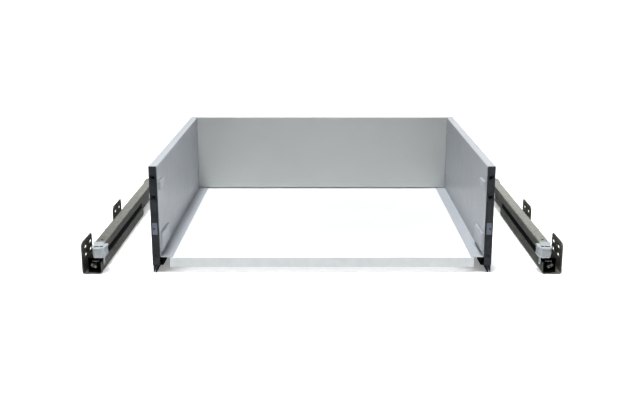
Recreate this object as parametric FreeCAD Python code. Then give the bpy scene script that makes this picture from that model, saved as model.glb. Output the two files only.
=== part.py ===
"""Metal-sided cabinet drawer with its pair of concealed full-extension runners, laid out side by side.

Millimetres, +Z up, +X to the right, the open front of the drawer faces -Y. Everything is drawn with the
fixing brackets' front plane at Y = 0 and the floor at Z = 0, and moved to the middle of the depth when it
is written. The right-hand pieces are drawn, and the left-hand ones are their mirror images. In a runner
the distance "u" runs inwards from the face that is screwed to the cabinet wall.
"""
import FreeCAD, Part
import math
import os

# ---- Drawer box -------------------------------------------------------------------------------------
inner_width = 526.4        # between the two side walls
side_width = 13.0          # one double-skinned side
side_height = 177.3
inner_depth = 481.8        # front plane to the back panel
skin_t = 1.0               # steel of the sides
board_t = 16.0             # base and back panels
base_gap = 9.2             # under the base panel
ledge_width = 19.4         # inward ledge at the foot of each side
ledge_lap = 4.2            # ledge over the edge of the base panel
back_gap = 1.9             # between the base panel and the back panel
skin_front = 2.0           # skins stand back from the brackets' front plane
skin_bend = 1.5            # bend radius at the middle of the sheet
joint_gap = 0.3            # running clearance between bodies
holder_foot = 6.0          # back holder above the ledge
holder_head = 8.0          # and below the top of the side
holder_tongue = 30.0       # length of its tongue between the skins
board_rail_flange = 20.0   # flange under the base panel

# ---- Front fixing bracket and its adjusters -----------------------------------------------------------
flange_t = 1.7
flange_inset = 1.3         # flange stands this far outside the inner wall face
flange_foot = 12.7
front_hole_pitch = 32.0
front_hole_top = 18.3      # upper fixing hole below the top of the side
front_hole_d = 6.0
bush_wall = 1.0
bracket_plate_t = 1.5
bracket_plate_depth = 60.0
height_range = 3.0         # the drawer front can be raised this much
cam_turn = 100.0           # degrees, for the whole height range
shift_range = 1.5          # the drawer front can be moved this much each way
screw_pitch = 1.0
adjust_z = 50.0            # both adjusters stand at this height
cam_y = 32.0
cam_d = 12.0
cam_pin_d = 4.0
cam_slot_gap = 0.5
side_screw_y = 60.0
side_screw_d = 5.0
neck_d = 3.6               # the screw's neck in the bracket's plate
neck_rivet = 1.0
carriage_t = 2.0
carriage_depth = 60.0
carriage_height = 32.0
guide_rim = 2.7
guide_proud = 0.5          # frame over the carriage's face
inset_rim = 1.6            # rim around the flange's sunk fields
inset_depth = 0.7
bush_proud = 0.4
drive_slit = 0.8           # screwdriver slits of the adjusters
cover_t = 1.2
cover_proud = 3.3
block_depth = 20.0         # coupling block behind the front flange
block_in = 6.2             # it reaches this far inside the inner wall face
block_out = 4.8            # and this far outside it

# ---- Fixings of the back and base -------------------------------------------------------------------
holder_t = 1.5
holder_width = 26.0
screw_d = 3.5
screw_head_d = 7.0
screw_length = 13.0
rivet_d = 5.0
rivet_head = 0.8

# ---- Runner -----------------------------------------------------------------------------------------
runner_out = 389.7         # wall face of each runner from the middle of the layout
runner_front = -8.0
cabinet_length = 360.0
cabinet_width = 31.4
cabinet_t = 1.5
cabinet_bend = 3.75
lip_height = 19.0
wall_height = 24.0
tab_top = 52.0
tab_depth = 66.0
rear_tab_start = 230.0     # behind the front end
tab_corner = 6.0
hole_pitch = 32.0          # cabinet system holes
first_hole = 24.0          # behind the front end of a tab
rear_first_hole = 18.0
slot_length = 14.0
slot_width = 5.0
slot_row_low = 26.5
slot_row_gap = 13.0
pilot_d = 3.0
foot_hole_d = 4.5
foot_hole_u = 5.7
foot_hole_back = 31.0      # behind the front end
nose_room = 34.0           # free bottom plate in front of the rail

rail_t = 1.2
rail_side_gap = 2.5        # between the rail and the cabinet profile's wall
rail_lip_gap = 1.5
rail_height = 11.5
rail_flange = 5.2
rail_bend = 1.6
rail_end_gap = 2.0

member_t = 1.5             # drawer member steel
member_in = 14.9           # u of its outer side
member_width = 17.4
member_top = 46.0
member_height = 16.0
member_front = 21.0
member_length = 464.6
member_bend = 1.75
member_foot_out = 2.6      # in-turned feet, outer and inner
member_foot_in = 4.8

middle_t = 1.2             # intermediate member steel
middle_length = 440.0
middle_lead = 3.0          # behind the front end of the drawer member
web_t = 2.4
web_gap = 1.0              # between the web and the outer in-turned foot

travel = 480.0             # full extension
lower_roller_gap = 3.9     # height left for the rollers under the intermediate member
cage_t = 2.0
cage_wall = 1.2
cage_length = 210.0
lower_cage_start = 120.0
upper_cage_start = 137.0
roller_count = 8
upper_roller_room = 5.0
roller_side = 2.4          # roller ends inside the cage's walls
cage_end = 10.0            # first roller from the cage's end

cap_width = 22.6
cap_in = 15.2              # u of its outer side
cap_height = 16.5
cap_foot = 27.0
cap_chamfer = 4.1

damper_in = 2.2            # u of the damper case's outer side
damper_width = 11.6
damper_height = 17.0
damper_start = 80.0        # behind the front end
damper_length = 143.0
damper_wall = 1.5
soft_close = 45.0          # travel over which the drawer is caught and pulled shut
damper_d = 7.0
rod_d = 2.4

guide_height = 14.5
guide_end_gap = 5.0
relief_length = 24.0       # sunk windows along the side guide
hook_t = 1.5

# ---- Worked out from the sizes above ----------------------------------------------------------------
wall_in = inner_width / 2
wall_out = wall_in + side_width
ledge_edge = wall_in - ledge_width
base_half = ledge_edge + ledge_lap
base_top = base_gap + board_t
ledge_top = base_top + skin_t
back_rear = inner_depth + board_t
holder_rear = back_rear + holder_t
front_most = min(runner_front, 0.0)
rear_most = max(holder_rear, member_front + member_length)
middle_y = (front_most + rear_most) / 2
skin_rear = back_rear - joint_gap
rail_bottom = cabinet_t + rail_t
rail_top = cabinet_t + rail_height
member_foot = member_top - member_height
member_cavity_top = member_top - member_t
foot_top = member_foot + member_t
low_flange_z = rail_bottom + lower_roller_gap
high_flange_z = member_cavity_top - upper_roller_room - middle_t
upper_flange_top = high_flange_z + middle_t
middle_front = member_front + middle_lead

V = FreeCAD.Vector
UP = V(0, 0, 1)
ACROSS = V(1, 0, 0)
BACKWARD = V(0, 1, 0)


def box(x, y, z):
    """A block between the low and high value of each axis."""
    return Part.makeBox(x[1] - x[0], y[1] - y[0], z[1] - z[0], V(x[0], y[0], z[0]))


def rod(start, diameter, length, direction):
    """A round bar from a point, along a direction."""
    return Part.makeCylinder(diameter / 2, length, V(*start), direction)


def prism(points, low, high, axis):
    """A polygon drawn on the two axes that follow the given one, and drawn out along it."""
    place = {"x": lambda a, b: V(low, a, b),
             "y": lambda a, b: V(a, low, b),
             "z": lambda a, b: V(a, b, low)}[axis]
    corners = [place(a, b) for a, b in points]
    run = {"x": ACROSS, "y": BACKWARD, "z": UP}[axis] * (high - low)
    return Part.Face(Part.makePolygon(corners + corners[:1])).extrude(run)


def rounded(shape, radius, direction):
    """Round the edges of a shape that run along one direction."""
    straight = [e for e in shape.Edges if len(e.Vertexes) == 2]
    along = [e for e in straight if abs(e.tangentAt(e.FirstParameter).dot(direction)) > 0.999]
    return shape.makeFillet(radius, along)


def slot(x, y, z, length, width):
    """A round-ended slot along Y, cut through the span x."""
    half = (length - width) / 2
    body = box(x, (y - half, y + half), (z - width / 2, z + width / 2))
    for end in (y - half, y + half):
        body = body.fuse(rod((x[0], end, z), width, x[1] - x[0], ACROSS))
    return body


def side_points(path, bend, offset):
    """Edges of one face of a bent strip: offset is measured to the left of its middle line."""
    edges = []
    steps = [(b - a).normalize() for a, b in zip(path, path[1:])]
    here = path[0] + left_of(steps[0]) * offset
    for corner, before, after in zip(path[1:-1], steps, steps[1:]):
        turn = before.x * after.z - before.z * after.x
        reach = bend * math.tan(before.getAngle(after) / 2)
        side = 1 if turn > 0 else -1
        centre = corner - before * reach + left_of(before) * (bend * side)
        middle = centre + (corner - centre).normalize() * (bend - side * offset)
        start = corner - before * reach + left_of(before) * offset
        end = corner + after * reach + left_of(after) * offset
        edges.append(Part.LineSegment(here, start).toShape())
        edges.append(Part.Arc(start, middle, end).toShape())
        here = end
    last = path[-1] + left_of(steps[-1]) * offset
    edges.append(Part.LineSegment(here, last).toShape())
    return edges


def left_of(step):
    """The direction to the left of a step in the X-Z plane."""
    return V(-step.z, 0, step.x)


def folded(path, thickness, bend, front, rear):
    """Folded sheet: its middle line in X and Z, drawn out from front to rear."""
    points = [V(x, front, z) for x, z in path]
    near = side_points(points, bend, thickness / 2)
    far = side_points(points, bend, -thickness / 2)
    start = Part.LineSegment(far[0].Vertexes[0].Point, near[0].Vertexes[0].Point).toShape()
    finish = Part.LineSegment(near[-1].Vertexes[-1].Point, far[-1].Vertexes[-1].Point).toShape()
    wire = Part.Wire(Part.__sortEdges__([start] + near + [finish] + far))
    return Part.Face(wire).extrude(V(0, rear - front, 0))


def at(u):
    """X of a distance inwards from the runner's wall face."""
    return runner_out - u


def span(u_from, u_to):
    """The X span between two distances inwards from the runner's wall face."""
    return (at(u_to), at(u_from))


def evenly(low, high, count):
    """Places spread evenly from low to high."""
    return [low + (high - low) * i / (count - 1) for i in range(count)]


def countersunk(head, direction, length):
    """A wood screw with a flat countersunk head and a cross recess; head is the centre of its face."""
    head_depth = (screw_head_d - screw_d) / 2
    body = Part.makeCone(screw_head_d / 2, screw_d / 2, head_depth, V(*head), direction)
    body = body.fuse(rod(V(*head) + direction * head_depth, screw_d, length - head_depth, direction))
    arm = screw_head_d * 0.6
    recess_side = V(direction.z, direction.x, direction.y)
    for across in (recess_side, direction.cross(recess_side)):
        other = direction.cross(across) * drive_slit
        corner = V(*head) - across * (arm / 2) - other * 0.5
        recess = Part.makePolygon([corner, corner + across * arm, corner + across * arm + other,
                                   corner + other, corner])
        body = body.cut(Part.Face(recess).extrude(direction * (head_depth * 0.8)))
    return body


# ---- Drawer box -------------------------------------------------------------------------------------
base_screw_places = evenly(60.0, inner_depth - 40.0, 5)
board_rail_start = skin_front + block_depth + 2.0
back_screw_heights = evenly(50.0, side_height - 30.0, 3)
holder_screw_x = wall_in - holder_width / 2
holder_rivet_heights = (62.0, side_height - 28.0)
holder_rivet_y = inner_depth - 14.0
holder_tongue_x = wall_in + skin_t + 1.6
base_screw_x = base_half - board_rail_flange / 2


def base_panel():
    """White board, with pilot holes for the screws that come up from below."""
    panel = box((-base_half, base_half), (0, back_rear), (base_gap, base_top))
    for x in (-base_screw_x, base_screw_x):
        for y in base_screw_places:
            panel = panel.cut(countersunk_seat((x, y, base_gap - skin_t), UP))
    return panel


def back_panel():
    """White board between the side walls, with pilot holes on its rear face."""
    half = wall_in - joint_gap
    low = base_top + back_gap
    panel = box((-half, half), (inner_depth, back_rear), (low, side_height))
    for x in (-holder_screw_x, holder_screw_x):
        for z in back_screw_heights:
            panel = panel.cut(countersunk_seat((x, holder_rear, z), -BACKWARD))
    return panel


def inner_skin():
    """Inner wall with the ledge at its foot and the flat top over the outer skin."""
    half = skin_t / 2
    path = [(ledge_edge, ledge_top - half), (wall_in + half, ledge_top - half),
            (wall_in + half, side_height - half), (wall_out, side_height - half)]
    skin = folded(path, skin_t, skin_bend, skin_front, skin_rear)
    through = (wall_in - 1, wall_in + skin_t + 1)
    room = side_screw_d / 2 + height_range / 2 + 0.5
    lift = height_range / 2
    holes = [rod((through[0], cam_y, adjust_z), cam_d + 2 * joint_gap, through[1] - through[0], ACROSS),
             rod((through[0], side_screw_y, adjust_z + lift), 2 * room, through[1] - through[0], ACROSS)]
    for z in holder_rivet_heights:
        holes.append(rod((through[0], holder_rivet_y, z), rivet_d, through[1] - through[0], ACROSS))
    for hole in holes:
        skin = skin.cut(hole)
    return skin


def outer_skin():
    """Outer wall, down to the floor, with a flange under the inner skin's flat top."""
    half = skin_t / 2
    top = side_height - skin_t - half
    path = [(wall_out - half, 0), (wall_out - half, top), (wall_in + skin_t + skin_bend, top)]
    return folded(path, skin_t, skin_bend, skin_front, skin_rear)


def board_rail():
    """Rail under the ledge that carries the edge of the base panel and takes its screws."""
    half = skin_t / 2
    path = [(base_half - board_rail_flange, base_gap - half), (base_half + half, base_gap - half),
            (base_half + half, base_top - half), (wall_in - 4 * skin_t, base_top - half)]
    rail = folded(path, skin_t, half * 1.2, board_rail_start, inner_depth)
    corner_x = (base_half - skin_t, base_half)
    rail = rail.cut(box(corner_x, (board_rail_start, inner_depth), (base_gap, base_gap + skin_t)))
    for y in base_screw_places:
        rail = rail.cut(countersunk_seat((base_screw_x, y, base_gap - skin_t), UP))
    return rail


def countersunk_seat(head, direction):
    """The room that a countersunk screw takes in what it holds down."""
    head_depth = (screw_head_d - screw_d) / 2
    cone = Part.makeCone(screw_head_d / 2, screw_d / 2, head_depth, V(*head), direction)
    return cone.fuse(rod(V(*head) + direction * head_depth, screw_d, screw_length - head_depth, direction))


def base_screws():
    """Screws from below, through the board rail."""
    places = [(base_screw_x, y, base_gap - skin_t) for y in base_screw_places]
    return Part.makeCompound([countersunk(p, UP, screw_length) for p in places])


def back_holder():
    """Steel angle: a plate on the back panel's rear face and a tongue between the two skins."""
    z = (ledge_top + holder_foot, side_height - holder_head)
    tongue_x = (holder_tongue_x, holder_tongue_x + holder_t)
    plate = box((wall_in - holder_width, tongue_x[1]), (back_rear, holder_rear), z)
    tongue = box(tongue_x, (inner_depth - holder_tongue, holder_rear), z)
    holder = plate.fuse(tongue).removeSplitter()
    for z in back_screw_heights:
        holder = holder.cut(countersunk_seat((holder_screw_x, holder_rear, z), -BACKWARD))
    for z in holder_rivet_heights:
        holder = holder.cut(rod((holder_tongue_x - 1, holder_rivet_y, z), rivet_d, holder_t + 2, ACROSS))
    return holder


def back_screws():
    """Screws through the back holder into the back panel."""
    places = [(holder_screw_x, holder_rear, z) for z in back_screw_heights]
    return Part.makeCompound([countersunk(p, -BACKWARD, screw_length) for p in places])


def holder_rivets():
    """Rivets through the inner skin and the back holder's tongue."""
    rivets = []
    for z in holder_rivet_heights:
        start = (wall_in - rivet_head, holder_rivet_y, z)
        head = rod(start, rivet_d + 2.0, rivet_head, ACROSS)
        shank = rod(start, rivet_d, holder_tongue_x + holder_t - wall_in + 2 * rivet_head, ACROSS)
        rivets.append(head.fuse(shank).removeSplitter())
    return Part.makeCompound(rivets)


# ---- Front fixing bracket and its adjusters -----------------------------------------------------------
flange_in = wall_in + flange_inset
flange_mid = (flange_in + wall_out) / 2
plate_x = wall_out - skin_t - shift_range - bracket_plate_t - 1.7
plate_top = side_height - 2 * skin_t - height_range - joint_gap
front_holes = (side_height - front_hole_top, side_height - front_hole_top - front_hole_pitch)
upper_inset = (side_height - 55.0, side_height - 15.0)
middle_inset = (side_height - 92.0, side_height - 56.5)
window = (64.0, 84.0)
lower_inset = (24.0, 62.0)
cam_reach = height_range / (2 * math.sin(math.radians(cam_turn / 2)))
cam_rest = math.radians(-cam_turn / 2)
pin_y = cam_y + cam_reach * math.cos(cam_rest)
pin_z = adjust_z + cam_reach * math.sin(cam_rest)
carriage_x = wall_in + 2 * skin_t
carriage_mid = (cam_y + side_screw_y) / 2 - 2.0
carriage_y = (carriage_mid - carriage_depth / 2, carriage_mid + carriage_depth / 2)
carriage_z = (adjust_z - carriage_height / 2, adjust_z + carriage_height / 2)
screw_room = side_screw_d + 2 * joint_gap


def front_bracket():
    """Black angle that the drawer front is screwed to: a front flange with sunk fields, and a side plate."""
    flange = box((flange_in, wall_out), (0, flange_t), (flange_foot, side_height - 0.3))
    field = (flange_in + inset_rim, wall_out - inset_rim)
    for low, high in (upper_inset, middle_inset, lower_inset):
        flange = flange.cut(box(field, (-1, inset_depth), (low, high)))
    flange = flange.cut(box(field, (-1, flange_t + 1), window))
    for z in front_holes:
        flange = flange.cut(rod((flange_mid, -1, z), front_hole_d + 2 * bush_wall, flange_t + 2, BACKWARD))
    flange = flange.cut(rod((flange_mid, -1, lower_inset[0] + 4.0), 3.0, flange_t + 2, BACKWARD))
    tail = flange_foot + 22.0
    plate = prism([(0, 0), (bracket_plate_depth, 0), (bracket_plate_depth, tail),
                   (bracket_plate_depth * 0.7, plate_top), (flange_t, plate_top), (flange_t, flange_foot),
                   (0, flange_foot)], plate_x, plate_x + bracket_plate_t, "x")
    start = (plate_x - 1, side_screw_y, adjust_z)
    plate = plate.cut(rod(start, neck_d + 2 * joint_gap, bracket_plate_t + 2, ACROSS))
    return flange.fuse(plate).removeSplitter()


def front_bushes():
    """Bright bushes in the two fixing holes of the front flange."""
    bushes = []
    for z in front_holes:
        start = (flange_mid, -bush_proud, z)
        outer = rod(start, front_hole_d + 2 * bush_wall, flange_t + bush_proud, BACKWARD)
        bushes.append(outer.cut(rod((flange_mid, -1, z), front_hole_d, flange_t + 2, BACKWARD)))
    return Part.makeCompound(bushes)


def clamp_plate():
    """Zinc plate in the window of the front flange."""
    field = (flange_in + inset_rim, wall_out - inset_rim)
    plate = box(field, (0.5, flange_t), window)
    return plate.cut(rod((flange_mid + 1.5, 0, (window[0] + window[1]) / 2), 3.0, flange_t + 1, BACKWARD))


def adjuster_guide():
    """Black frame on the inner skin in which the carriage slides up and down."""
    front, rear = carriage_y
    low, high = carriage_z
    x = (wall_in + skin_t, carriage_x + carriage_t + guide_proud)
    frame = box(x, (front - joint_gap - guide_rim, rear + joint_gap + guide_rim),
                (low - joint_gap - guide_rim, high + height_range + joint_gap + guide_rim))
    return frame.cut(box((x[0] - 1, x[1] + 1), (front - joint_gap, rear + joint_gap),
                         (low - joint_gap, high + height_range + joint_gap)))


def carriage():
    """Zinc plate that carries the bracket: a cross slot for the cam's pin and a hole for the side screw."""
    plate = box((carriage_x, carriage_x + carriage_t), carriage_y, carriage_z)
    width = cam_pin_d + 2 * cam_slot_gap
    low, high = pin_y - cam_slot_gap, cam_y + cam_reach + cam_slot_gap
    length = high - low + cam_pin_d
    through = (carriage_x - 1, carriage_x + carriage_t + 1)
    plate = plate.cut(slot(through, (low + high) / 2, pin_z, length + width - cam_pin_d, width))
    hole = rod((through[0], side_screw_y, adjust_z), screw_room, through[1] - through[0], ACROSS)
    return rounded(plate.cut(hole), 2.0, ACROSS)


def height_cam():
    """Eccentric: a disc in the inner skin, a collar behind it and a pin in the carriage's slot."""
    face = wall_in + 0.2
    behind = wall_in + skin_t
    disc = rod((face, cam_y, adjust_z), cam_d, behind - face, ACROSS)
    collar = rod((behind, cam_y, adjust_z), cam_d + 3.0, carriage_x - joint_gap - behind, ACROSS)
    pin = rod((behind, pin_y, pin_z), cam_pin_d, carriage_x + carriage_t + joint_gap - behind, ACROSS)
    half = 0.75 * drive_slit
    slit_y = (cam_y - cam_d / 3, cam_y + cam_d / 3)
    slit = box((face - 1, behind - 0.1), slit_y, (adjust_z - half, adjust_z + half))
    return disc.fuse(collar).fuse(pin).removeSplitter().cut(slit)


def side_screw():
    """Screw that shifts the bracket sideways: it turns in the carriage, its neck is held in the bracket."""
    start = wall_in + skin_t + 0.2
    shank = rod((start, side_screw_y, adjust_z), side_screw_d, plate_x - joint_gap - start, ACROSS)
    collar_x = carriage_x + carriage_t + joint_gap + shift_range
    collar_t = plate_x - joint_gap - collar_x
    collar = rod((collar_x, side_screw_y, adjust_z), side_screw_d + 3.0, collar_t, ACROSS)
    rivet_x = plate_x + bracket_plate_t + joint_gap
    neck = rod((collar_x, side_screw_y, adjust_z), neck_d, rivet_x - collar_x, ACROSS)
    rivet = rod((rivet_x, side_screw_y, adjust_z), side_screw_d + 1.5, neck_rivet, ACROSS)
    half = drive_slit / 2
    slit_y = (side_screw_y - 0.4 * side_screw_d, side_screw_y + 0.4 * side_screw_d)
    slit = box((start - 1, start + 1), slit_y, (adjust_z - half, adjust_z + half))
    return shank.fuse(collar).fuse(neck).fuse(rivet).removeSplitter().cut(slit)


def cover(outline, edge):
    """Clip-on plastic cover on the inner wall: a thin shell with softened edges."""
    face = wall_in - cover_proud
    low = [(y + cover_t * dy, z + cover_t * dz) for (y, z), (dy, dz) in outline]
    shell = prism([p for p, _ in outline], face, wall_in, "x")
    front_edges = [e for e in shell.Edges if all(abs(v.X - face) < 0.01 for v in e.Vertexes)]
    shell = shell.makeChamfer(edge, front_edges)
    return shell.cut(prism(low, face + cover_t, wall_in + 1, "x"))


def upper_cover():
    """Small cover over the front's upper fixing."""
    top, foot = side_height - 27.5, side_height - 41.0
    return cover([((11.5, foot), (1, 1)), ((39.0, foot), (-0.6, 1)), ((52.0, top - 3.5), (-1.8, -0.4)),
                  ((50.0, top - 1.5), (-1, -1)), ((11.5, top), (1, -1.1))], 1.0)


def lower_cover():
    """Larger cover over the two adjusters."""
    low, high = adjust_z - 16.0, adjust_z + 14.0
    return cover([((9.5, low), (1, 1)), ((77.0, low), (-1, 1)), ((80.0, low + 3.0), (-1, 1)),
                  ((80.0, high - 2.0), (-1, -1)), ((11.0, high), (1, -1))], 1.4)


def coupling_block():
    """Black block under the ledge behind the bracket, which takes the runner's front end."""
    low, high = flange_foot - 0.3, base_top
    inner, outer = wall_in - block_in, wall_in + block_out
    outline = [(inner + 2.5, low), (outer, low), (outer, high), (inner, high), (inner - 0.6, low + 5.0)]
    block = prism(outline, skin_front, skin_front + block_depth, "y")
    return block.cut(rod((wall_in - 1.5, skin_front - 1, (low + high) / 2), 4.0, 12.0, BACKWARD))


# ---- Runner -----------------------------------------------------------------------------------------
cabinet_rear = runner_front + cabinet_length
rail_front = runner_front + nose_room
rail_rear = cabinet_rear - rail_end_gap
rail_u = (cabinet_t + rail_side_gap, cabinet_width - cabinet_t - rail_lip_gap)
rail_rivet_places = evenly(rail_front + 20.0, rail_rear - 20.0, 4)
rail_rivet_u = (rail_u[0] + rail_u[1]) / 2
member_out = member_in + member_width
member_rear = member_front + member_length
middle_rear = middle_front + middle_length
web_u = member_in + member_t + member_foot_out + web_gap
web_span = (web_u, web_u + web_t)
low_side = rail_t + cage_wall + 2 * joint_gap
low_flange_u = (rail_u[0] + low_side, rail_u[1] - low_side)
high_side = member_t + cage_wall + 2 * joint_gap - 0.2
high_flange_u = (member_in + high_side, member_out - high_side)
tabs = ((runner_front, runner_front + tab_depth, first_hole),
        (runner_front + rear_tab_start, runner_front + rear_tab_start + tab_depth, rear_first_hole))

case_y = (runner_front + damper_start, runner_front + damper_start + damper_length)
case_u = (damper_in, damper_in + damper_width)
case_z = (rail_top, rail_top + damper_height)
case_mid = (case_u[0] + case_u[1]) / 2
slider_front = case_y[0] + damper_wall + soft_close + 8.0
slider_length = 10.0
cylinder_front = slider_front + slider_length + 2.0
cylinder_z = rail_top + damper_wall + damper_d / 2 + 1.0
tongue_top = case_z[1] + 3.0
activator_d = 3.0


def cabinet_profile():
    """Galvanised steel channel that is screwed to the cabinet wall by its two upright tabs."""
    half = cabinet_t / 2
    path = [(at(half), wall_height), (at(half), half), (at(cabinet_width - half), half),
            (at(cabinet_width - half), lip_height)]
    shape = folded(path, cabinet_t, cabinet_bend, runner_front, cabinet_rear)
    for front, rear, first in tabs:
        tab = box(span(0, cabinet_t), (front, rear), (wall_height - 1.0, tab_top))
        top_edges = [e for e in tab.Edges if all(abs(v.Z - tab_top) < 0.01 for v in e.Vertexes)]
        tab = tab.makeFillet(tab_corner, [e for e in top_edges if abs(e.tangentAt(0).x) > 0.9])
        shape = shape.fuse(tab)
        for column in (first, first + hole_pitch):
            for row in (slot_row_low, slot_row_low + slot_row_gap):
                through = span(-1, cabinet_t + 1)
                shape = shape.cut(slot(through, front + column, row, slot_length, slot_width))
        between = [first - 0.4 * hole_pitch, first + 0.36 * hole_pitch, first + 0.64 * hole_pitch]
        middle_row = [first - 0.4 * hole_pitch, first + 0.5 * hole_pitch, first + 1.28 * hole_pitch]
        rows = ((slot_row_low, between), (slot_row_low + slot_row_gap, between),
                (slot_row_low + slot_row_gap / 2, middle_row))
        for row, columns in rows:
            for column in columns:
                start = (at(cabinet_t + 1), front + column, row)
                shape = shape.cut(rod(start, pilot_d, cabinet_t + 2, ACROSS))
    shape = shape.removeSplitter()
    lip_corner = [(cabinet_rear - 5.0, lip_height + 1), (cabinet_rear + 1, lip_height + 1),
                  (cabinet_rear + 1, lip_height - 6.0)]
    shape = shape.cut(prism(lip_corner, at(cabinet_width) - 1, at(cabinet_width - cabinet_t) + 1, "x"))
    foot_slot = box(span(4.6, 11.2), (runner_front + 5.5, runner_front + 9.0), (-1, cabinet_t + 1))
    shape = shape.cut(rounded(foot_slot, 1.7, UP))
    foot_hole = (at(foot_hole_u), runner_front + foot_hole_back, -1)
    shape = shape.cut(rod(foot_hole, foot_hole_d, cabinet_t + 2, UP))
    for y in rail_rivet_places:
        shape = shape.cut(rod((at(rail_rivet_u), y, -1), rivet_d, cabinet_t + 2, UP))
    return shape


def cabinet_rail():
    """Channel with in-turned flanges, riveted into the cabinet profile, in which the lower rollers run."""
    half = rail_t / 2
    low, high = rail_u[0] + half, rail_u[1] - half
    foot, top = cabinet_t + half, rail_top - half
    reach = rail_flange - half
    path = [(at(low + reach), top), (at(low), top), (at(low), foot),
            (at(high), foot), (at(high), top), (at(high - reach), top)]
    rail = folded(path, rail_t, rail_bend, rail_front, rail_rear)
    for y in rail_rivet_places:
        rail = rail.cut(rod((at(rail_rivet_u), y, cabinet_t - 1), rivet_d, rail_t + 2, UP))
    return rail


def rail_rivets():
    """Flush rivets between the cabinet profile and its rail."""
    x = at(rail_rivet_u)
    return Part.makeCompound([rod((x, y, 0), rivet_d, rail_bottom, UP) for y in rail_rivet_places])


def side_guide():
    """Black glide strip on the rail's inner flange, beside the intermediate member."""
    u = (web_span[1] + 2 * joint_gap, cabinet_width - cabinet_t - 0.2)
    y = (rail_front + guide_end_gap, rail_rear - guide_end_gap)
    strip = box(span(*u), y, (rail_top, rail_top + guide_height))
    relief_x = span(u[0] - 1, u[1] - 1.6)
    relief_z = (rail_top + 2.0, rail_top + guide_height - 2.0)
    for middle in evenly(rail_front + 40.0, rail_rear - 40.0, 6):
        strip = strip.cut(box(relief_x, (middle - relief_length / 2, middle + relief_length / 2), relief_z))
    return strip


def middle_member():
    """Middle member: a steel I section between the cabinet rail and the drawer member."""
    y = (middle_front, middle_rear)
    low = box(span(*low_flange_u), y, (low_flange_z, low_flange_z + middle_t))
    web = box(span(*web_span), y, (low_flange_z, upper_flange_top))
    high = box(span(*high_flange_u), y, (high_flange_z, upper_flange_top))
    return low.fuse(web).fuse(high).removeSplitter()


lever_pivot = (at(17.5), 12.2)
lever_tilt = 30.0
lever_pin_d = 2.4
nose_back = middle_front - 12.0
pocket_front = runner_front + 5.0


def nose():
    """Black front end of the middle member, hollow towards the front, with the latch lever's pin."""
    u = (low_flange_u[0] + 2.0, cabinet_width - cabinet_t - 2 * joint_gap)
    top = cap_foot - joint_gap
    block = box(span(*u), (runner_front + 4.0, middle_front), (cabinet_t + 2 * joint_gap, top))
    block = rounded(block, 2.0, BACKWARD)
    pocket = box(span(u[0] + 1.2, u[1] - 1.5), (runner_front, nose_back), (cabinet_t + 3.0, top - 1.5))
    x, z = lever_pivot
    pin = rod((x, pocket_front, z), lever_pin_d, nose_back - pocket_front, BACKWARD)
    return block.cut(pocket).fuse(pin).removeSplitter()


def latch_lever():
    """Tilted steel lever in the nose, on its pin."""
    x, z = lever_pivot
    y = (pocket_front, nose_back - joint_gap)
    plate = box((x - 5.2, x + 5.2), (y[0], y[0] + 6.0), (z - 2.2, z + 2.2))
    hub = rod((x, y[0] + 6.0, z), lever_pin_d + 2.4, y[1] - y[0] - 6.0, BACKWARD)
    lever = rounded(plate, 1.0, BACKWARD).fuse(hub)
    lever.rotate(V(x, 0, z), BACKWARD, lever_tilt * -1)
    return lever.cut(rod((x, y[0] - 1, z), lever_pin_d + 2 * 0.15, y[1] - y[0] + 2, BACKWARD))


def latch_plate():
    """Flat steel bar across the nose above the lever."""
    return box(span(15.6, 26.6), (pocket_front, nose_back), (19.4, 20.9))


def cage(strip_z, walls_u, wall_z, start, places, roller_d):
    """Plastic roller cage: a strip with roller pockets between two side walls."""
    y = (start, start + cage_length)
    shape = box(span(*walls_u), y, strip_z)
    for u in ((walls_u[0], walls_u[0] + cage_wall), (walls_u[1] - cage_wall, walls_u[1])):
        shape = shape.fuse(box(span(*u), y, wall_z))
    pocket_x = span(walls_u[0] + roller_side - 0.2, walls_u[1] - roller_side + 0.2)
    half = roller_d / 2 + 0.2
    for place in places:
        shape = shape.cut(box(pocket_x, (place - half, place + half), (strip_z[0] - 1, strip_z[1] + 1)))
    return shape.removeSplitter()


lower_walls = (rail_u[0] + rail_t + joint_gap, rail_u[1] - rail_t - joint_gap)
lower_mid = rail_bottom + lower_roller_gap / 2
lower_strip = (lower_mid - cage_t / 2, lower_mid + cage_t / 2)
lower_places = evenly(lower_cage_start + cage_end, lower_cage_start + cage_length - cage_end, roller_count)
lower_d = lower_roller_gap - 2 * joint_gap
hold_gap = rail_top - rail_t - low_flange_z - middle_t
upper_walls = (member_in + member_t + joint_gap, member_out - member_t - joint_gap)
upper_mid = upper_flange_top + upper_roller_room / 2
upper_strip = (upper_mid - cage_t / 2, upper_mid + cage_t / 2)
upper_places = evenly(upper_cage_start + cage_end, upper_cage_start + cage_length - cage_end, roller_count)
upper_d = upper_roller_room - 2 * joint_gap
foot_d = high_flange_z - foot_top - 2 * joint_gap


def lower_cage():
    """Cage of the rollers between the cabinet rail and the middle member."""
    wall_z = (lower_strip[0], rail_top - rail_t - 1.0)
    return cage(lower_strip, lower_walls, wall_z, lower_cage_start, lower_places, lower_d)


def upper_cage():
    """Cage of the rollers between the middle member and the drawer member."""
    wall_z = (foot_top + 1.0, upper_strip[1])
    return cage(upper_strip, upper_walls, wall_z, upper_cage_start, upper_places, upper_d)


def roller_row(places, u, z, diameter):
    """Steel rollers with their axes across the runner."""
    x = span(*u)
    return [rod((x[0], y, z), diameter, x[1] - x[0], ACROSS) for y in places]


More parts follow.
